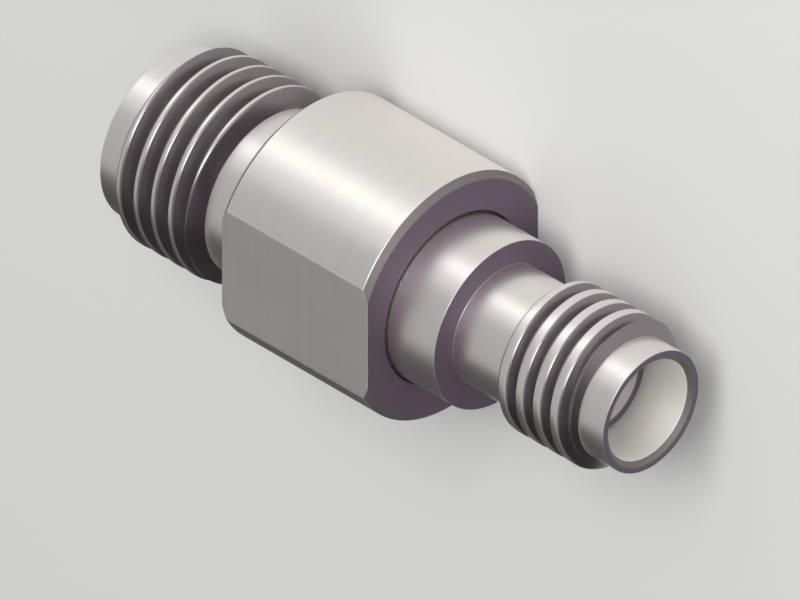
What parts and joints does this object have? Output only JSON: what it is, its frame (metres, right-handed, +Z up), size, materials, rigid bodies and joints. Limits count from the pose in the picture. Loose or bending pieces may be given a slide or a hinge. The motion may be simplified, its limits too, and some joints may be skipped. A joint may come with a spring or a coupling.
{
  "type": "coax adapter",
  "caption": "Straight coaxial adapter: threaded female jack at one end, smaller threaded female jack at the other, wrench flats on the round body between.",
  "frame": {"origin": "middle of the bounding box in plan, on the surface that the lower wrench flat rests on", "axes": "+X along the axis towards the smaller jack, +Z up and square to the wrench flats, +Y across"},
  "size_m": [0.0198, 0.008, 0.007],
  "materials": {
    "stainless_steel": "fine turned, satin",
    "white_insulator": "waxy matte",
    "gold_plated_contact": "gold plated, satin"
  },
  "bodies": {
    "root": {"main_body": "stainless_steel", "small_jack": "stainless_steel", "large_insulator": "white_insulator", "small_insulator": "white_insulator", "centre_contact": "gold_plated_contact"}
  },
  "joints": []
}
